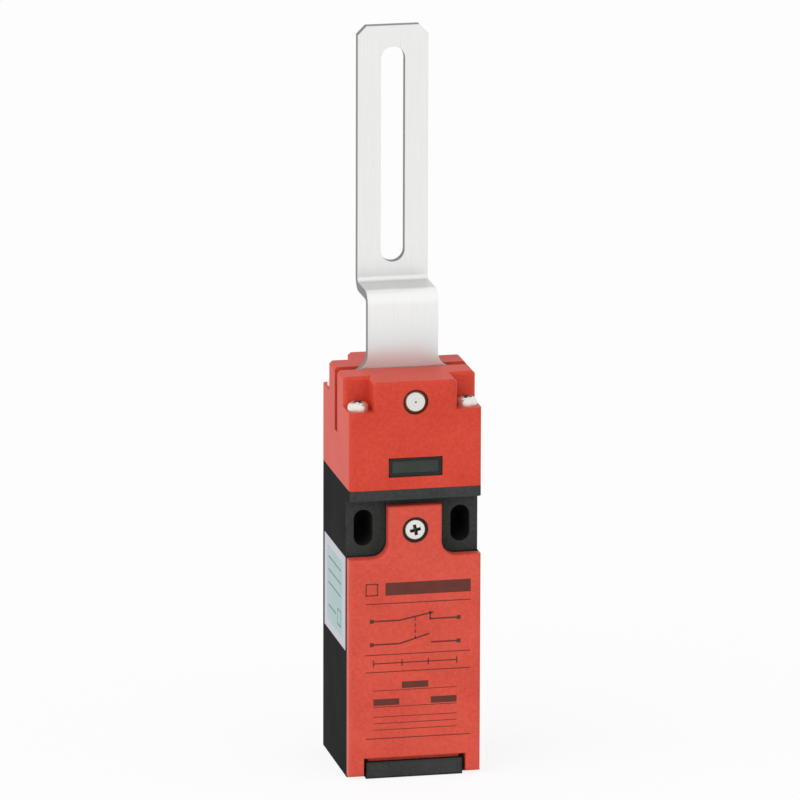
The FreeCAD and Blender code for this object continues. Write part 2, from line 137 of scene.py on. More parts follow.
glassFilled = dict(grainMm=0.7, grainDepthMm=0.08, ior=1.53)
thinInk = dict(rough=0.5, grainMm=0.2, grainDepthMm=0.005, driftMm=3, edgeMm=0.01, ior=1.5, sheen=0.25)
plastics = {
    # head: a strong, slightly orange red
    "redPolyamideMoulded": dict(glassFilled, tone="#c53a27", paleTone="#d54834", rough=0.46, driftMm=14,
                                edgeMm=0.25, sheen=0.2),
    # cover: the head's red painted a little paler, as painted light on the cover, with rounder edges
    "redPolyamidePaintedLighter": dict(glassFilled, tone="#c84636", paleTone="#d85443", rough=0.46, driftMm=14,
                                    edgeMm=0.45, sheen=0.2),
    # body: charcoal with hardly any gloss, its sides darkened by painted shade
    "blackPolyamideMoulded": dict(glassFilled, tone="#363837", paleTone="#434544", rough=0.65, driftMm=12,
                                  edgeMm=0.25, sheen=0.002, sideShade=0.5),
    # plug: dark grey with a hint of green
    "greyPolyamideMoulded": dict(tone="#2f3531", paleTone="#3a413c", rough=0.5, grainMm=0.25,
                                 grainDepthMm=0.03, driftMm=5, edgeMm=0.15, ior=1.53, sheen=0.15),
    # slides: warm white, smooth and a little waxy
    "whiteAcetalMoulded": dict(tone="#e6e3d9", paleTone="#efece4", rough=0.36, grainMm=0.4,
                               grainDepthMm=0.02, driftMm=8, edgeMm=0.15, ior=1.48, sheen=0.5),
    # contact block: dull mid grey
    "greyMelamineMoulded": dict(tone="#8b8b88", paleTone="#979793", rough=0.55, grainMm=0.5,
                                grainDepthMm=0.04, driftMm=6, edgeMm=0.15, ior=1.6, sheen=0.4),
    # seals: soft black rubber; the window rim of painted shade wears it too
    "blackNitrileMoulded": dict(tone="#1c1c1d", paleTone="#242425", rough=0.62, grainMm=0.2,
                                grainDepthMm=0.03, driftMm=5, edgeMm=0.1, ior=1.52, sheen=0.25),
    # inks: thin, even and satin, and the black one lets some of the red through
    "blackInkPadPrinted": dict(thinInk, tone="#5a2a22", paleTone="#683229"),
    "greyInkScreenPrinted": dict(thinInk, tone="#4b585a", paleTone="#566365"),
    "aquaInkScreenPrinted": dict(thinInk, tone="#a0b7b9", paleTone="#abc1c3", grainMm=0.3, driftMm=6,
                                 sheen=0.2),
}
finishes = {name: mouldedPlastic(name, **spec) for name, spec in plastics.items()}
print("mouldings and inks:", ", ".join(plastics))


# Small metal pieces: plated, pressed or sintered. The eye gets a skin that is mottled where the piece was
# tumbled or pressed, and lined where it was rolled.
smallMetal = dict(roughSpread=0.06, relief=0.3)


def workedMetal(name, tone, darkTone, rough, lineMm, depthMm, driftMm, metallic=1.0):
    material, tree = emptyMaterial(name)
    spot = add(tree, "ShaderNodeTexCoord").outputs["Object"]
    pull = add(tree, "ShaderNodeMapping", {"Scale": [1 / (s * mm) for s in lineMm]}, {"Vector": spot})
    lines = add(tree, "ShaderNodeTexNoise", lineNoise, {"Vector": pull.outputs["Vector"]})
    drift = add(tree, "ShaderNodeTexNoise", {"Scale": 1 / (driftMm * mm), **driftNoise}, {"Vector": spot})
    share = add(tree, "ShaderNodeMapRange", noiseSpan, {"Value": lines.outputs["Fac"]})
    colour = add(tree, "ShaderNodeMix", {"A": toLinear(darkTone), "B": toLinear(tone)},
                 {"Factor": share.outputs["Result"]}, data_type="RGBA")
    both = add(tree, "ShaderNodeMath", None, {0: lines.outputs["Fac"], 1: drift.outputs["Fac"]},
               operation="ADD")
    spread = smallMetal["roughSpread"]
    gloss = add(tree, "ShaderNodeMapRange",
                {**noisePairSpan, "To Min": rough - spread, "To Max": rough + spread},
                {"Value": both.outputs["Value"]})
    relief = add(tree, "ShaderNodeBump", {"Strength": smallMetal["relief"], "Distance": depthMm * mm},
                 {"Height": lines.outputs["Fac"]})
    shade = add(tree, "ShaderNodeBsdfPrincipled", {"Metallic": metallic},
                {"Base Color": colour.outputs["Result"], "Roughness": gloss.outputs["Result"],
                 "Normal": relief.outputs["Normal"]})
    add(tree, "ShaderNodeOutputMaterial", None, {"Surface": shade.outputs["BSDF"]})
    return material


metals = {
    # screws, spring and clamps: bright and white, tumbled, so mottled all ways
    "steelZincPlated": dict(tone="#efeee9", darkTone="#d9d8d1", rough=0.28, lineMm=(0.25, 0.25, 0.25),
                            depthMm=0.01, driftMm=2, metallic=0.75),
    # screw recesses: dull dark grey, painted shade in the recess
    "steelRecessPaintedShade": dict(tone="#5d5d59", darkTone="#42423f", rough=0.5, lineMm=(0.2, 0.2, 0.2),
                               depthMm=0.02, driftMm=1),
    # bearings: brown and open-pored, dark with oil
    "bronzeSintered": dict(tone="#5f4a33", darkTone="#3c2d1f", rough=0.5, lineMm=(0.2, 0.2, 0.2),
                           depthMm=0.02, driftMm=2),
    # fixed contacts: pale yellow with faint lines up the sheet
    "brassStamped": dict(tone="#d9c07c", darkTone="#c7ad68", rough=0.3, lineMm=(0.15, 3, 3),
                         depthMm=0.01, driftMm=4),
    # bridges: near white, with short lines along the strip
    "silverAlloyRolled": dict(tone="#f3f1ea", darkTone="#e2dfd6", rough=0.24, lineMm=(0.6, 0.12, 0.12),
                              depthMm=0.01, driftMm=3),
}
finishes.update({name: workedMetal(name, **spec) for name, spec in metals.items()})
print("small metals:", ", ".join(metals))


# Lever: cold-rolled stainless strip, blanked and bent. The eye gets a pale satin face with faint lines
# along the strip, dark sheared edges all round, a darker patch of painted shade at the elbow, and a cooler
# grey towards the foot, painted to tone down the red of the head mirrored there.
# Rolling lines are about 0.05 mm apart, too fine to show here, so they are drawn four times as coarse.
leverLook = dict(tone="#f6f6f5", lineTone="#eeeeed", footReflectionTint="#d9e9e9", elbowPaintedShade="#cfcfce",
                 edgeTone="#808181", metallic=0.7, rough=0.32, roughSpread=0.05, edgeRough=0.5, edgeMm=0.15,
                 lineMm=(0.2, 12, 12), lineDepthMm=0.006, relief=0.25, driftMm=11,
                 footLowMm=91, footHighMm=105, elbowFrontMm=1.2, elbowBackMm=10.6, elbowEaseMm=1.4,
                 elbowMidMm=107.4, elbowHalfMm=3.5)


def leverSteel(name, look):
    material, tree = emptyMaterial(name)
    coords = add(tree, "ShaderNodeTexCoord")
    spot = coords.outputs["Object"]
    place = add(tree, "ShaderNodeSeparateXYZ", None, {"Vector": spot})
    facing = add(tree, "ShaderNodeSeparateXYZ", None, {"Vector": coords.outputs["Normal"]})
    pull = add(tree, "ShaderNodeMapping", {"Scale": [1 / (s * mm) for s in look["lineMm"]]},
               {"Vector": spot})
    lines = add(tree, "ShaderNodeTexNoise", lineNoise, {"Vector": pull.outputs["Vector"]})
    drift = add(tree, "ShaderNodeTexNoise", {"Scale": 1 / (look["driftMm"] * mm), **driftNoise},
                {"Vector": spot})
    share = add(tree, "ShaderNodeMapRange", noiseSpan, {"Value": lines.outputs["Fac"]})
    rolled = add(tree, "ShaderNodeMix", {"A": toLinear(look["lineTone"]), "B": toLinear(look["tone"])},
                 {"Factor": share.outputs["Result"]}, data_type="RGBA")
    # foot, painted reflection tint: from nothing at its top to all of it where the strip goes into the head
    foot = add(tree, "ShaderNodeMapRange",
               {"From Min": look["footHighMm"] * mm, "From Max": look["footLowMm"] * mm},
               {"Value": place.outputs["Z"]})
    reflectionTinted = add(tree, "ShaderNodeMix", {"B": toLinear(look["footReflectionTint"])},
                  {"Factor": foot.outputs["Result"], "A": rolled.outputs["Result"]}, data_type="RGBA")
    # elbow, painted shade: behind its front and before its back
    front, back, ease = (look[key] * mm for key in ("elbowFrontMm", "elbowBackMm", "elbowEaseMm"))
    behind = add(tree, "ShaderNodeMapRange", {"From Min": front, "From Max": front + ease},
                 {"Value": place.outputs["Y"]})
    before = add(tree, "ShaderNodeMapRange", {"From Min": back, "From Max": back - ease},
                 {"Value": place.outputs["Y"]})
    elbow = add(tree, "ShaderNodeMath", None, {0: behind.outputs["Result"], 1: before.outputs["Result"]},
                operation="MULTIPLY")
    elbowShaded = add(tree, "ShaderNodeMix", {"B": toLinear(look["elbowPaintedShade"])},
                  {"Factor": elbow.outputs["Value"], "A": reflectionTinted.outputs["Result"]}, data_type="RGBA")
    # sheared edges: what faces sideways, and what faces up or down away from the elbow
    sideways = add(tree, "ShaderNodeMath", None, {0: facing.outputs["X"]}, operation="ABSOLUTE")
    cut = add(tree, "ShaderNodeMapRange", turnedTo, {"Value": sideways.outputs["Value"]})
    upright = add(tree, "ShaderNodeMath", None, {0: facing.outputs["Y"]}, operation="ABSOLUTE")
    across = add(tree, "ShaderNodeMapRange", turnedAway, {"Value": upright.outputs["Value"]})
    bend = add(tree, "ShaderNodeMath", {1: look["elbowMidMm"] * mm, 2: look["elbowHalfMm"] * mm},
               {0: place.outputs["Z"]}, operation="COMPARE")
    level = add(tree, "ShaderNodeMath", None, {0: across.outputs["Result"], 1: bend.outputs["Value"]},
                operation="SUBTRACT")
    edge = add(tree, "ShaderNodeMath", None, {0: cut.outputs["Result"], 1: level.outputs["Value"]},
               operation="MAXIMUM")
    colour = add(tree, "ShaderNodeMix", {"B": toLinear(look["edgeTone"])},
                 {"Factor": edge.outputs["Value"], "A": elbowShaded.outputs["Result"]}, data_type="RGBA")
    both = add(tree, "ShaderNodeMath", None, {0: lines.outputs["Fac"], 1: drift.outputs["Fac"]},
               operation="ADD")
    rough, spread = look["rough"], look["roughSpread"]
    gloss = add(tree, "ShaderNodeMapRange",
                {**noisePairSpan, "To Min": rough - spread, "To Max": rough + spread},
                {"Value": both.outputs["Value"]})
    dull = add(tree, "ShaderNodeMix", {"B": look["edgeRough"]},
               {"Factor": edge.outputs["Value"], "A": gloss.outputs["Result"]}, data_type="FLOAT")
    soft = add(tree, "ShaderNodeBevel", {"Radius": look["edgeMm"] * mm}, samples=edgeRays)
    relief = add(tree, "ShaderNodeBump", {"Strength": look["relief"], "Distance": look["lineDepthMm"] * mm},
                 {"Height": lines.outputs["Fac"], "Normal": soft.outputs["Normal"]})
    shade = add(tree, "ShaderNodeBsdfPrincipled", {"Metallic": look["metallic"]},
                {"Base Color": colour.outputs["Result"], "Roughness": dull.outputs["Result"],
                 "Normal": relief.outputs["Normal"]})
    add(tree, "ShaderNodeOutputMaterial", None, {"Surface": shade.outputs["BSDF"]})
    return material


finishes["steelStripRolled"] = leverSteel("steelStripRolled", leverLook)


# Pivot pin: turned and plated. The eye gets rings from the lathe tool about the pin's middle, with a small
# dark pip where it was parted off. Tool marks are about 0.1 mm apart and are drawn three times as coarse.
pinLook = dict(tone="#f1f0ec", ringTone="#d6d5d0", pipTone="#77766f", rough=0.26, smoother=0.05,
               rougher=0.08, ringMm=0.3, ringDepthMm=0.008, relief=0.4, pipMm=0.32, pipCoreShare=0.6,
               ringNoise={"Detail": 2.0, "Roughness": 0.6}, ringSpan={"From Min": 0.35, "From Max": 0.65})


def turnedPin(name, look):
    material, tree = emptyMaterial(name)
    low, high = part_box("pivot_pin")
    middle = (low + high) / 2
    spot = add(tree, "ShaderNodeTexCoord").outputs["Object"]
    about = add(tree, "ShaderNodeMapping", {"Location": (-middle.x, 0, -middle.z), "Scale": (1, 0, 1)},
                {"Vector": spot})
    away = add(tree, "ShaderNodeVectorMath", None, {0: about.outputs["Vector"]}, operation="LENGTH")
    rings = add(tree, "ShaderNodeTexNoise", {"Scale": 1 / (look["ringMm"] * mm), **look["ringNoise"]},
                {"W": away.outputs["Value"]}, noise_dimensions="1D")
    share = add(tree, "ShaderNodeMapRange", look["ringSpan"], {"Value": rings.outputs["Fac"]})
    turned = add(tree, "ShaderNodeMix", {"A": toLinear(look["ringTone"]), "B": toLinear(look["tone"])},
                 {"Factor": share.outputs["Result"]}, data_type="RGBA")
    pipR = look["pipMm"] * mm
    pip = add(tree, "ShaderNodeMapRange", {"From Min": pipR, "From Max": pipR * look["pipCoreShare"]},
              {"Value": away.outputs["Value"]})
    colour = add(tree, "ShaderNodeMix", {"B": toLinear(look["pipTone"])},
                 {"Factor": pip.outputs["Result"], "A": turned.outputs["Result"]}, data_type="RGBA")
    shine = {"To Min": look["rough"] - look["smoother"], "To Max": look["rough"] + look["rougher"]}
    gloss = add(tree, "ShaderNodeMapRange", {**noiseSpan, **shine}, {"Value": rings.outputs["Fac"]})
    relief = add(tree, "ShaderNodeBump", {"Strength": look["relief"], "Distance": look["ringDepthMm"] * mm},
                 {"Height": rings.outputs["Fac"]})
    shade = add(tree, "ShaderNodeBsdfPrincipled", {"Metallic": 1.0},
                {"Base Color": colour.outputs["Result"], "Roughness": gloss.outputs["Result"],
                 "Normal": relief.outputs["Normal"]})
    add(tree, "ShaderNodeOutputMaterial", None, {"Surface": shade.outputs["BSDF"]})
    return material


finishes["steelTurnedPlated"] = turnedPin("steelTurnedPlated", pinLook)


# Label: white polyester film, printed and laid on by hand. The eye gets a flat sheet of a pale violet-grey
# white, with slow waves in its tone and shine.
filmLook = dict(tone="#b6b4be", paleTone="#c6c4ce", rough=0.4, roughSpread=0.06, waveMm=7, waveDetail=1.0,
                waveDepthMm=0.05, relief=0.25, ior=1.57, sheen=0.2)


def labelFilm(name, look):
    material, tree = emptyMaterial(name)
    spot = add(tree, "ShaderNodeTexCoord").outputs["Object"]
    wave = add(tree, "ShaderNodeTexNoise",
               {"Scale": 1 / (look["waveMm"] * mm), "Detail": look["waveDetail"]}, {"Vector": spot})
    colour = add(tree, "ShaderNodeMix", {"A": toLinear(look["tone"]), "B": toLinear(look["paleTone"])},
                 {"Factor": wave.outputs["Fac"]}, data_type="RGBA")
    shine = {"To Min": look["rough"] - look["roughSpread"], "To Max": look["rough"] + look["roughSpread"]}
    gloss = add(tree, "ShaderNodeMapRange", shine, {"Value": wave.outputs["Fac"]})
    relief = add(tree, "ShaderNodeBump", {"Strength": look["relief"], "Distance": look["waveDepthMm"] * mm},
                 {"Height": wave.outputs["Fac"]})
    shade = add(tree, "ShaderNodeBsdfPrincipled", {"IOR": look["ior"], "Specular IOR Level": look["sheen"]},
                {"Base Color": colour.outputs["Result"], "Roughness": gloss.outputs["Result"],
                 "Normal": relief.outputs["Normal"]})
    add(tree, "ShaderNodeOutputMaterial", None, {"Surface": shade.outputs["BSDF"]})
    return material


finishes["polyesterFilmPrinted"] = labelFilm("polyesterFilmPrinted", filmLook)
print("lever, pin and label finishes made")

# Which finish each solid piece wears.
dressing = {
    "redPolyamideMoulded": ["head_housing"],
    "redPolyamidePaintedLighter": ["front_cover"],
    "blackPolyamideMoulded": ["body_housing"],
    "greyPolyamideMoulded": ["window_plug"],
    "whiteAcetalMoulded": ["plunger", "contact_carrier"],
    "greyMelamineMoulded": ["contact_base"],
    "blackNitrileMoulded": ["cover_gasket", "screw_seal", "head_gasket", "plunger_seal"],
    "steelStripRolled": ["lever"],
    "steelTurnedPlated": ["pivot_pin"],
    "steelZincPlated": ["pivot_clip", "follower_pin", "terminal_clamps", "cover_screw", "head_screws",
                        "return_spring"],
    "bronzeSintered": ["front_bush", "rear_bush"],
    "brassStamped": ["nc_contacts", "no_contacts"],
    "silverAlloyRolled": ["nc_bridge", "no_bridges"],
    "polyesterFilmPrinted": ["side_label"],
}
for finish, members in dressing.items():
    for member in members:
        nodes[member].data.materials.clear()
        nodes[member].data.materials.append(finishes[finish])
print("solid pieces dressed:", sum(map(len, dressing.values())))


# Points in mm, and blocks of faces as rows of corner numbers, make one piece at the origin.
def newPiece(name, points, faces, finishNames, body=None, faceFinish=None, smoothDeg=35):
    mesh = bpy.data.meshes.new(name)
    mesh.from_pydata((points * mm).tolist(), [], sum([block.tolist() for block in faces], []))
    for finish in finishNames:
        mesh.materials.append(finishes[finish])
    if faceFinish is not None:
        mesh.polygons.foreach_set("material_index", faceFinish)
    mesh.shade_smooth()
    mesh.set_sharp_from_angle(angle=math.radians(smoothDeg))
    piece = bpy.data.objects.new(name, mesh)
    bpy.context.scene.collection.objects.link(piece)
    if body:
        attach(piece, body)
    return piece


# True where the faces of a closed skin look inwards: its volume, summed over triangles, is below nothing.
def insideOut(points, triangles):
    a, b, c = points[triangles[:, 0]], points[triangles[:, 1]], points[triangles[:, 2]]
    return np.einsum("ij,ij->i", a, np.cross(b, c)).sum() < 0


def halves(quads):  # each quad as two triangles
    return np.concatenate([quads[:, :3], quads[:, [0, 2, 3]]])


def facingOut(points, quads):  # the quads of a closed skin, turned round where they look inwards
    return quads[:, ::-1] if insideOut(points, halves(quads)) else quads


# Skin of a stack of closed rings, array (rings, points, 3): a quad between each two neighbours, and a fan
# of triangles about the middle of each end.
def stackSkin(rings, base=0):
    m, n = rings.shape[:2]
    near = np.arange(m * n).reshape(m, n)
    far = np.roll(near, -1, axis=1)
    skin = np.stack([near[:-1], far[:-1], far[1:], near[1:]], axis=-1).reshape(-1, 4)
    first = np.stack([np.full(n, m * n), far[0], near[0]], axis=-1)
    last = np.stack([np.full(n, m * n + 1), near[-1], far[-1]], axis=-1)
    points = np.concatenate([rings.reshape(-1, 3), rings[:1].mean(axis=1), rings[-1:].mean(axis=1)])
    if insideOut(points, np.concatenate([first, last, halves(skin)])):
        skin, first, last = skin[:, ::-1], first[:, ::-1], last[:, ::-1]
    return points, [first + base, skin + base, last + base]


# Skin of a grid that closes on itself both ways, array (rows, columns, 3): a quad at each crossing.
def gridSkin(grid):
    near = np.arange(grid.shape[0] * grid.shape[1]).reshape(grid.shape[:2])
    far = np.roll(near, -1, axis=1)
    skin = np.stack([near, far, np.roll(far, -1, axis=0), np.roll(near, -1, axis=0)], axis=-1)
    skin = skin.reshape(-1, 4)
    points = grid.reshape(-1, 3)
    return points, [facingOut(points, skin)]


# A screw about its own axis, head up. Going out along each ray: recess floor, recess wall, domed land,
# rounded rim, side, seat, then a thread whose radius dips by a triangle wave of height and angle.
# The dome is height = top - crown (radius / its edge) squared, and the rim goes on from its slope there.
# The cross recess has the outline r = min(reach / cos f, half width / sin f), with f from the nearest wing.
# Shares are of that outline, slopeDeep is a share of the recess's depth, and lengths are in mm.
screwForm = dict(turnSteps=48, recessRows=3, landRows=4, rimRows=6, rowsPerPitch=4, floorShare=0.3,
                 slopeShare=0.75, slopeDeep=0.8, wallShare=0.97, lipDeep=0.08, lipWide=0.04,
                 threadStart=0.2, threadStop=0.3, tip=0.2)


def screwRings(screw):
    form = screwForm
    quarter = math.pi / 2
    headR, headT = screw["headD"] / 2, screw["headT"]
    rimR, rimFrom = screw["rimR"], math.radians(screw["rimFromDeg"])
    wing, wingHalf, recess = screw["wing"], screw["wingHalf"], screw["recess"]
    shankR, shankL = screw["shankD"] / 2, screw["shankL"]
    pitch, threadDeep = screw["pitch"], screw["threadDeep"]
    corner = math.atan2(wingHalf, wing)
    marks = [k * quarter + s for k in range(4) for s in (-corner, corner, quarter / 2)]
    even = np.linspace(0, 2 * math.pi, form["turnSteps"], endpoint=False)
    turn = np.unique(np.round(np.concatenate([even, np.mod(marks, 2 * math.pi)]), 6))  # each angle once
    f = np.abs(np.mod(turn + quarter / 2, quarter) - quarter / 2)
    edge = np.minimum(wing / np.cos(f), wingHalf / np.maximum(np.sin(f), 1e-6))  # never over nothing
    domeR = headR - rimR * (1 - math.sin(rimFrom))
    crown = domeR * math.tan(rimFrom) / 2
    lip = edge + form["lipWide"]
    lipZ = headT - crown * (lip / domeR) ** 2
    rings = [(edge * form["floorShare"], headT - recess),
             (edge * form["slopeShare"], headT - recess * form["slopeDeep"]),
             (edge * form["wallShare"], lipZ - form["lipDeep"]),
             (lip, lipZ)]
    land = [lip * (1 - t) + domeR * t for t in np.linspace(0, 1, form["landRows"] + 1)[1:]]
    rings += [(a, headT - crown * (a / domeR) ** 2) for a in land]
    rimZ = headT - crown - rimR * math.cos(rimFrom)
    bend = np.linspace(rimFrom, quarter, form["rimRows"] + 1)[1:]
    rings += [(headR - rimR + rimR * math.sin(b), rimZ + rimR * math.cos(b)) for b in bend]
    rings += [(headR, 0.0), (shankR, 0.0)]
    down = np.arange(form["threadStart"], shankL - form["threadStop"], pitch / form["rowsPerPitch"])
    wave = [np.abs(np.mod(d / pitch + turn / (2 * math.pi), 1) * 2 - 1) for d in down]
    rings += [(shankR - threadDeep * w * min(1, d / pitch), -d) for d, w in zip(down, wave)]
    rootR = shankR - threadDeep
    rings += [(rootR, form["tip"] - shankL), (rootR - form["tip"], -shankL)]
    radius = np.array([np.broadcast_to(a, turn.shape) for a, _ in rings])
    height = np.array([np.broadcast_to(h, turn.shape) for _, h in rings])
    return radius * np.cos(turn), radius * np.sin(turn), height


def screwPiece(name, stacks):  # screws in one piece, each recess in the finish of painted shade
    spots, faces, shadedRecess, base = [], [], [], 0
    for rings in stacks:
        points, blocks = stackSkin(rings, base)
        n = rings.shape[1]
        shadedRecess += [np.ones(n), np.arange(len(blocks[1])) < screwForm["recessRows"] * n, np.zeros(n)]
        spots.append(points)
        faces += blocks
        base += len(points)
    return newPiece(name, np.concatenate(spots), faces, ["steelZincPlated", "steelRecessPaintedShade"],
                    "switch", np.concatenate(shadedRecess).astype(np.int32))


# Cover screw: one, head to the front, in the ring of the cover.
coverScrew = dict(headD=4.6, headT=1.1, rimR=0.35, rimFromDeg=8, wing=1.2, wingHalf=0.36, recess=0.85,
                  shankD=3.0, shankL=6.7, pitch=0.5, threadDeep=0.25, turnDeg=12)  # as the driver left it
low, high = np.array(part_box("cover_screw")) / mm
centre = (low + high) / 2
u, v, w = screwRings(coverScrew)
turned = math.radians(coverScrew["turnDeg"])
c, s = math.cos(turned), math.sin(turned)
front = low[1] + coverScrew["headT"]
spots = np.stack([u * c - v * s + centre[0], front - w, u * s + v * c + centre[2]], axis=-1)
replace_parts(screwPiece("coverScrewCross", [spots]), "cover_screw")

# Head screws: four, heads up, in the corner notches, each left at its own angle. Their domes rise above the
# plain solids.
headScrew = dict(headD=4.7, headT=2.0, rimR=1.0, rimFromDeg=25, wing=1.2, wingHalf=0.36, recess=0.85,
                 shankD=2.5, shankL=17.8, pitch=0.45, threadDeep=0.22,
                 seat=1.2,  # below the top of the plain solids
                 turnsDeg=dict(frontLeft=20, frontRight=65, backLeft=40, backRight=8))
low, high = np.array(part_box("head_screws")) / mm
u, v, w = screwRings(headScrew)
reach = headScrew["headD"] / 2
places = [(x, y) for y in (low[1] + reach, high[1] - reach) for x in (low[0] + reach, high[0] - reach)]
turns = [(math.cos(math.radians(d)), math.sin(math.radians(d))) for d in headScrew["turnsDeg"].values()]
stacks = [np.stack([u * c - v * s + x, u * s + v * c + y, w + high[2] - headScrew["seat"]], axis=-1)
          for (x, y), (c, s) in zip(places, turns)]
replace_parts(screwPiece("headScrewsCross", stacks), "head_screws")

# Terminal screws: four, heads to the front, standing on the clamps inside the body.
terminalScrew = dict(headD=5.2, headT=2.0, rimR=0.4, rimFromDeg=7, wing=1.6, wingHalf=0.42, recess=1.1,
                     shankD=3.0, shankL=1.0, pitch=0.5, threadDeep=0.25, fromEdge=3.0)  # of its clamp
low, high = np.array(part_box("terminal_clamps")) / mm
u, v, w = screwRings(terminalScrew)
reach = terminalScrew["fromEdge"]
places = [(x, z) for x in (low[0] + reach, high[0] - reach) for z in (low[2] + reach, high[2] - reach)]
stacks = [np.stack([u + x, low[1] - w, v + z], axis=-1) for x, z in places]
screwPiece("terminalScrewsCross", stacks)
print("screws: 9 with cross recesses and threads")

# Return spring: a wire of round section carried along a helix, x = R cos a, y = R sin a, whose pitch eases
# from wire against wire at both ends to the open pitch between them. It stretches between base and slide.
coil = dict(wireD=0.5, turns=6.0, closedTurns=0.5, stepsPerTurn=28, sectionPoints=12, smoothDeg=60)
low, high = np.array(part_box("return_spring")) / mm
middle = (low + high) / 2
wire, coilTurns = coil["wireD"], coil["turns"]
t = np.linspace(0, coilTurns, int(coilTurns * coil["stepsPerTurn"]) + 1)
ease = np.clip(np.minimum(t, coilTurns - t) - coil["closedTurns"], 0, 1)
lift = np.cumsum(np.concatenate([[0], (ease[1:] + ease[:-1]) / 2])) * (t[1] - t[0])
rise = wire * t + (high[2] - low[2] - wire - wire * coilTurns) * lift / lift[-1]
radius = (high[0] - low[0] - wire) / 2
around = 2 * math.pi * t
out = np.stack([np.cos(around), np.sin(around), np.zeros_like(around)], axis=-1)
line = radius * out + np.stack([0 * t + middle[0], 0 * t + middle[1], rise + low[2] + wire / 2], axis=-1)
along = np.gradient(line, axis=0)
along /= np.linalg.norm(along, axis=1, keepdims=True)
side = np.cross(along, out)
phi = np.linspace(0, 2 * math.pi, coil["sectionPoints"], endpoint=False)[None, :, None]
rings = line[:, None] + wire / 2 * (np.cos(phi) * out[:, None] + np.sin(phi) * side[:, None])
rings[..., 2] = np.clip(rings[..., 2], low[2], high[2])  # ground flat where the ends seat
points, faces = stackSkin(rings)
piece = newPiece("returnCoil", points, faces, ["steelZincPlated"],
                 smoothDeg=coil["smoothDeg"])
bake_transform(piece)
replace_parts(piece, "return_spring")
print("return spring: %g turns" % coilTurns)

# Cable thread, M16 x 1.5, moulded in the entry: radius = major radius less a triangle wave of
# (height / pitch - angle), clipped flat at crest and root, fading out at both ends, with a plain back let a
# hair into the wall.
cableThread = dict(majorD=16.0, pitch=1.5, deep=0.78, flat=0.125, bottom=0.9, top=10.6, fade=0.8,
                   wallGap=0.01, back=0.03, points=96, stepsPerPitch=10)
bottom, top, pitch = cableThread["bottom"], cableThread["top"], cableThread["pitch"]
majorR, flat = cableThread["majorD"] / 2, cableThread["flat"]
turn = np.linspace(0, 2 * math.pi, cableThread["points"], endpoint=False)
z = np.linspace(bottom, top, int((top - bottom) / pitch * cableThread["stepsPerPitch"]))[:, None]
wave = 1 - np.abs(np.mod(z / pitch - turn / (2 * math.pi), 1) * 2 - 1)
wave = np.clip(wave * (1 + 2 * flat) - flat, 0, 1)
fade = np.clip(np.minimum(z - bottom, top - z) / cableThread["fade"], 0, 1)
inner = majorR - cableThread["wallGap"] - cableThread["deep"] * wave * fade
outer = np.full_like(inner, majorR + cableThread["back"])
r = np.concatenate([inner, outer[::-1]])
height = np.concatenate([z, z[::-1]]) + 0 * turn
points, faces = gridSkin(np.stack([r * np.cos(turn), r * np.sin(turn), height], axis=-1))
newPiece("entryThread", points, faces, ["blackPolyamideMoulded"], "switch")
print("cable thread: M16 x 1.5")

# Window rim: a dark rim round the plug in the head's front, a piece of painted shade for the shadowed gap
# there. Its section, a half round on a flat back, is carried round a rectangle with rounded corners: spot =
# corner centre + (corner radius - inset) times (cos a, sin a), and it stands out by proud times the root of
# sin b.
windowShadeRim = dict(holeWide=12.2, holeTall=4.4, wide=0.8, proud=0.2, back=0.05, cornerR=0.9, wallGap=0.03,
                 cornerSteps=7, sectionPoints=9)
low, high = np.array(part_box("window_plug")) / mm
middle = (low + high) / 2
corners = np.arange(4)
starts = corners * math.pi / 2
a = np.concatenate([np.linspace(q, q + math.pi / 2, windowShadeRim["cornerSteps"]) for q in starts])
halfU = windowShadeRim["holeWide"] / 2 - windowShadeRim["wallGap"] - windowShadeRim["cornerR"]
halfV = windowShadeRim["holeTall"] / 2 - windowShadeRim["wallGap"] - windowShadeRim["cornerR"]
corner = np.repeat(corners, windowShadeRim["cornerSteps"])
cornerU = halfU * np.array([1, -1, -1, 1])[corner]
cornerV = halfV * np.array([1, 1, -1, -1])[corner]
b = np.linspace(0, math.pi, windowShadeRim["sectionPoints"])
inset = np.concatenate([windowShadeRim["wide"] / 2 * (1 - np.cos(b)), [windowShadeRim["wide"], 0]])
height = np.concatenate([windowShadeRim["proud"] * np.sqrt(np.sin(b)), [-windowShadeRim["back"]] * 2])
reach = windowShadeRim["cornerR"] - inset[None, :]
u = cornerU[:, None] + reach * np.cos(a)[:, None]
v = cornerV[:, None] + reach * np.sin(a)[:, None]
depth = low[1] - height[None, :] + 0 * u
points, faces = gridSkin(np.stack([middle[0] + u, depth, middle[2] + v], axis=-1))
newPiece("windowShadeRim", points, faces, ["blackNitrileMoulded"], "switch")
print("window rim: %g mm wide" % windowShadeRim["wide"])

# Ink marks: each stroke runs from (u0, v0) to (u1, v1) with a width, as a thin slab on a face of the
# switch. Corners = ends plus and minus half a width across the run, once just under the face and once proud
# of it.
ink = dict(sink=0.01, thick=0.02, panelThick=0.01)
slabCorners = 8
slabSides = np.array([[0, 1, 2, 3], [7, 6, 5, 4], [0, 4, 5, 1], [1, 5, 6, 2], [2, 6, 7, 3], [3, 7, 4, 0]])


def inkPiece(name, strokes, onFace, thick, finish):
    s = np.array(strokes, float)
    a, b, half = s[:, 0:2], s[:, 2:4], s[:, 4:5] / 2
    run = (b - a) / np.linalg.norm(b - a, axis=1, keepdims=True)
    across = np.stack([-run[:, 1], run[:, 0]], axis=-1) * half
    flat = np.stack([a - across, b - across, b + across, a + across], axis=1)
    layers = [onFace(flat[..., 0], flat[..., 1], lift) for lift in (-ink["sink"], thick)]
    points = np.concatenate(layers, axis=1).reshape(-1, 3)
    skin = (np.arange(len(s))[:, None, None] * slabCorners + slabSides).reshape(-1, 4)
    return newPiece(name, points, [facingOut(points, skin)], [finish], "switch")


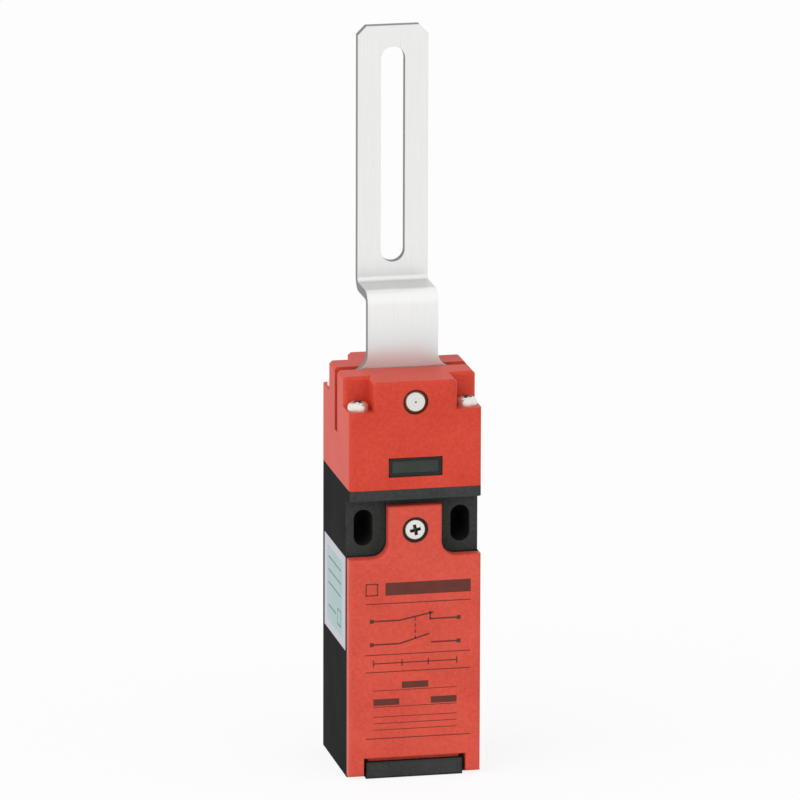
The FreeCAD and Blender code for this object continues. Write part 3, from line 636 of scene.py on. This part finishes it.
# Print on the cover: a plain band and a box, rules, one opening and one closing contact joined by a dashed
# link, and a travel chart over a blank table. Each row is a stroke: x0, z0, x1, z1 and width, in mm.
coverMarks = {
    "band": [(-6.8, 43.9, 12.6, 43.9, 2.9)],
    "box": [(-11.2, 42.6, -8.6, 42.6, 0.25), (-11.2, 45.2, -8.6, 45.2, 0.25),
            (-11.2, 42.5, -11.2, 45.3, 0.25), (-8.6, 42.5, -8.6, 45.3, 0.25)],
    "rules": [(-11.3, z, 12.6, z, 0.2) for z in (40.6, 28.8, 24.8, 9.4)],
    "opening": [(-9.5, 36.6, -3.6, 36.6, 0.35), (3.4, 36.6, 9.5, 36.6, 0.35),
                (3.4, 36.43, 3.4, 38.4, 0.35), (-3.6, 36.6, 4.1, 38.1, 0.35)],
    "closing": [(-9.5, 31.2, -3.6, 31.2, 0.35), (3.6, 31.2, 9.5, 31.2, 0.35),
                (-3.6, 31.2, 3.2, 33.2, 0.35)],
    "ends": [(x - 0.45, z, x + 0.45, z, 0.9) for x in (-9.9, 9.9) for z in (36.6, 31.2)],
    "link": [(0, z, 0, z - 0.8, 0.25) for z in (37.1, 35.7, 34.3, 32.9)],
    "axis": [(-9.5, 26.8, 9.5, 26.8, 0.25)] + [(x, 26.0, x, 27.6, 0.25) for x in (-9.5, -3, 3, 9.5)],
    "chart": [(-3, 21.6, 3, 21.6, 1.5), (-9.5, 17.8, -3.6, 17.8, 1.5), (3.6, 17.8, 9.5, 17.8, 1.5)],
    "table": [(-9.5, z, 9.5, z, 0.15) for z in (20.5, 16.7, 14.4, 12.9, 11.4)],
}
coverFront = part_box("front_cover")[0][1] / mm


def onCover(u, v, lift):  # across, up and out from the cover's front
    return np.stack([u, np.full_like(u, coverFront - lift), v], axis=-1)


inkPiece("coverPrint", sum(coverMarks.values(), []), onCover, ink["thick"], "blackInkPadPrinted")

# Label: a pale panel with writing lines, a box and a short line on it, all blank. Heights are z in mm.
labelMarks = dict(frontMargin=3.5, rearMargin=3.0, panelMid=39.8, panelTall=17.4, pen=0.3, inset=1.5,
                  lineHeights=(46, 43, 40), boxWide=3.5, boxLow=33.0, boxHigh=36.5, noteGap=2.0,
                  noteHeight=34.7)
low, high = np.array(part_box("side_label")) / mm
labelFace = low[0]


def onLabel(u, v, lift):  # back, up and out from the label's face
    return np.stack([np.full_like(u, labelFace - lift), u, v], axis=-1)


near, far = low[1] + labelMarks["frontMargin"], high[1] - labelMarks["rearMargin"]
panel = [(near, labelMarks["panelMid"], far, labelMarks["panelMid"], labelMarks["panelTall"])]
inkPiece("labelPanel", panel, onLabel, ink["panelThick"], "aquaInkScreenPrinted")
pen = labelMarks["pen"]
left, right = near + labelMarks["inset"], far - labelMarks["inset"]
boxLow, boxHigh, boxRight = labelMarks["boxLow"], labelMarks["boxHigh"], left + labelMarks["boxWide"]
lines = [(left, z, right, z, pen) for z in labelMarks["lineHeights"]]
box = [(left, z, boxRight, z, pen) for z in (boxLow, boxHigh)]
box += [(x, boxLow - pen / 2, x, boxHigh + pen / 2, pen) for x in (left, boxRight)]
note = [(boxRight + labelMarks["noteGap"], labelMarks["noteHeight"], right, labelMarks["noteHeight"], pen)]
inkPiece("labelPrint", lines + box + note, onLabel, ink["thick"], "greyInkScreenPrinted")
print("print: contact diagram on the cover, blank lines on the label")


def seenShare(tree):  # 1 for what the camera, a mirror or glass sees, 0 for light on the switch
    path = add(tree, "ShaderNodeLightPath")
    seen = add(tree, "ShaderNodeMath", None,
               {0: path.outputs["Is Camera Ray"], 1: path.outputs["Is Glossy Ray"]}, operation="ADD")
    seen = add(tree, "ShaderNodeMath", None,
               {0: seen.outputs["Value"], 1: path.outputs["Is Transmission Ray"]},
               operation="ADD", use_clamp=True)
    return seen.outputs["Value"]


# Floor: a plain sheet of matt paper, white to the camera and in reflections, that keeps a soft shadow.
floorLook = dict(sizeM=6.0, dropMm=0.05, tone="#fafaf9", glowTone="#ffffff", glowStrength=1.0,
                 glowShare=0.86)
material, tree = emptyMaterial("paperSweepMatt")
share = add(tree, "ShaderNodeMath", {1: floorLook["glowShare"]}, {0: seenShare(tree)}, operation="MULTIPLY")
matt = add(tree, "ShaderNodeBsdfDiffuse", {"Color": toLinear(floorLook["tone"])})
glow = add(tree, "ShaderNodeEmission",
           {"Color": toLinear(floorLook["glowTone"]), "Strength": floorLook["glowStrength"]})
both = add(tree, "ShaderNodeMixShader", None,
           {0: share.outputs["Value"], 1: matt.outputs["BSDF"], 2: glow.outputs["Emission"]})
add(tree, "ShaderNodeOutputMaterial", None, {"Surface": both.outputs["Shader"]})
half, drop = floorLook["sizeM"] / 2, floorLook["dropMm"] * mm
sheet = [(-half, -half, -drop), (half, -half, -drop), (half, half, -drop), (-half, half, -drop)]
mesh = bpy.data.meshes.new("floorSheet")
mesh.from_pydata(sheet, [], [(0, 1, 2, 3)])
mesh.materials.append(material)
floor = bpy.data.objects.new("floorSheet", mesh)
bpy.context.scene.collection.objects.link(floor)

# World: even daylight, white where it is seen or mirrored.
daylight = dict(tone="#ffffff", light=0.6, seen=1.0)
world = bpy.data.worlds.new("evenDaylight")
world.use_nodes = True
tree = world.node_tree
tree.nodes.clear()
strength = add(tree, "ShaderNodeMapRange", {"To Min": daylight["light"], "To Max": daylight["seen"]},
               {"Value": seenShare(tree)})
sky = add(tree, "ShaderNodeBackground", {"Color": toLinear(daylight["tone"])},
          {"Strength": strength.outputs["Result"]})
add(tree, "ShaderNodeOutputWorld", None, {"Surface": sky.outputs["Background"]})
bpy.context.scene.world = world
print("floor and daylight set")

# Lamps: two broad, far and even sources, as soft as a wide window, so that the floor is lit alike all over.
lamps = {
    "windowLeft": dict(towards=(-0.9, -0.5, 0.7), strength=1.3, spreadDeg=70),
    "windowFront": dict(towards=(0.6, -0.8, 0.4), strength=0.7, spreadDeg=90),
}
for name, spec in lamps.items():
    data = bpy.data.lights.new(name, "SUN")
    data.energy = spec["strength"]
    data.angle = math.radians(spec["spreadDeg"])
    lamp = bpy.data.objects.new(name, data)
    x, y, z = spec["towards"]
    lamp.rotation_euler = (math.atan2(math.hypot(x, y), z), 0, math.atan2(y, x) + math.pi / 2)
    lamp.location = spec["towards"]
    lamp.visible_glossy = False  # steel mirrors the white room, not the lamps, so its bends don't burn out
    bpy.context.scene.collection.objects.link(lamp)
print("lamps:", ", ".join(lamps))

# Camera: a long lens from the front left and a little above, rolled a hair.
view = dict(azimuth=-12.04, elevation=14.27, roll=0.16, lens=400.0, sensor=36.0, picturePixels=800,
            pixelsPerMm=4.483, aimMm=(-0.42, 0, 83.31), clipNearM=0.05, clipFarM=50)
a, e = math.radians(view["azimuth"]), math.radians(view["elevation"])
back = np.array([math.sin(a) * math.cos(e), -math.cos(a) * math.cos(e), math.sin(e)])
away = view["picturePixels"] / view["pixelsPerMm"] * mm * view["lens"] / view["sensor"]
data = bpy.data.cameras.new("photoView")
data.lens, data.sensor_width = view["lens"], view["sensor"]
data.clip_start, data.clip_end = view["clipNearM"], view["clipFarM"]
camera = bpy.data.objects.new("photoView", data)
camera.location = np.array(view["aimMm"]) * mm + back * away
camera.rotation_euler = (math.pi / 2 - e, 0, a)
camera.rotation_euler.rotate_axis("Z", math.radians(view["roll"]))
bpy.context.scene.collection.objects.link(camera)
bpy.context.scene.camera = camera
bpy.context.scene.view_settings.view_transform = "Standard"
print("camera: %.2f m away" % away)
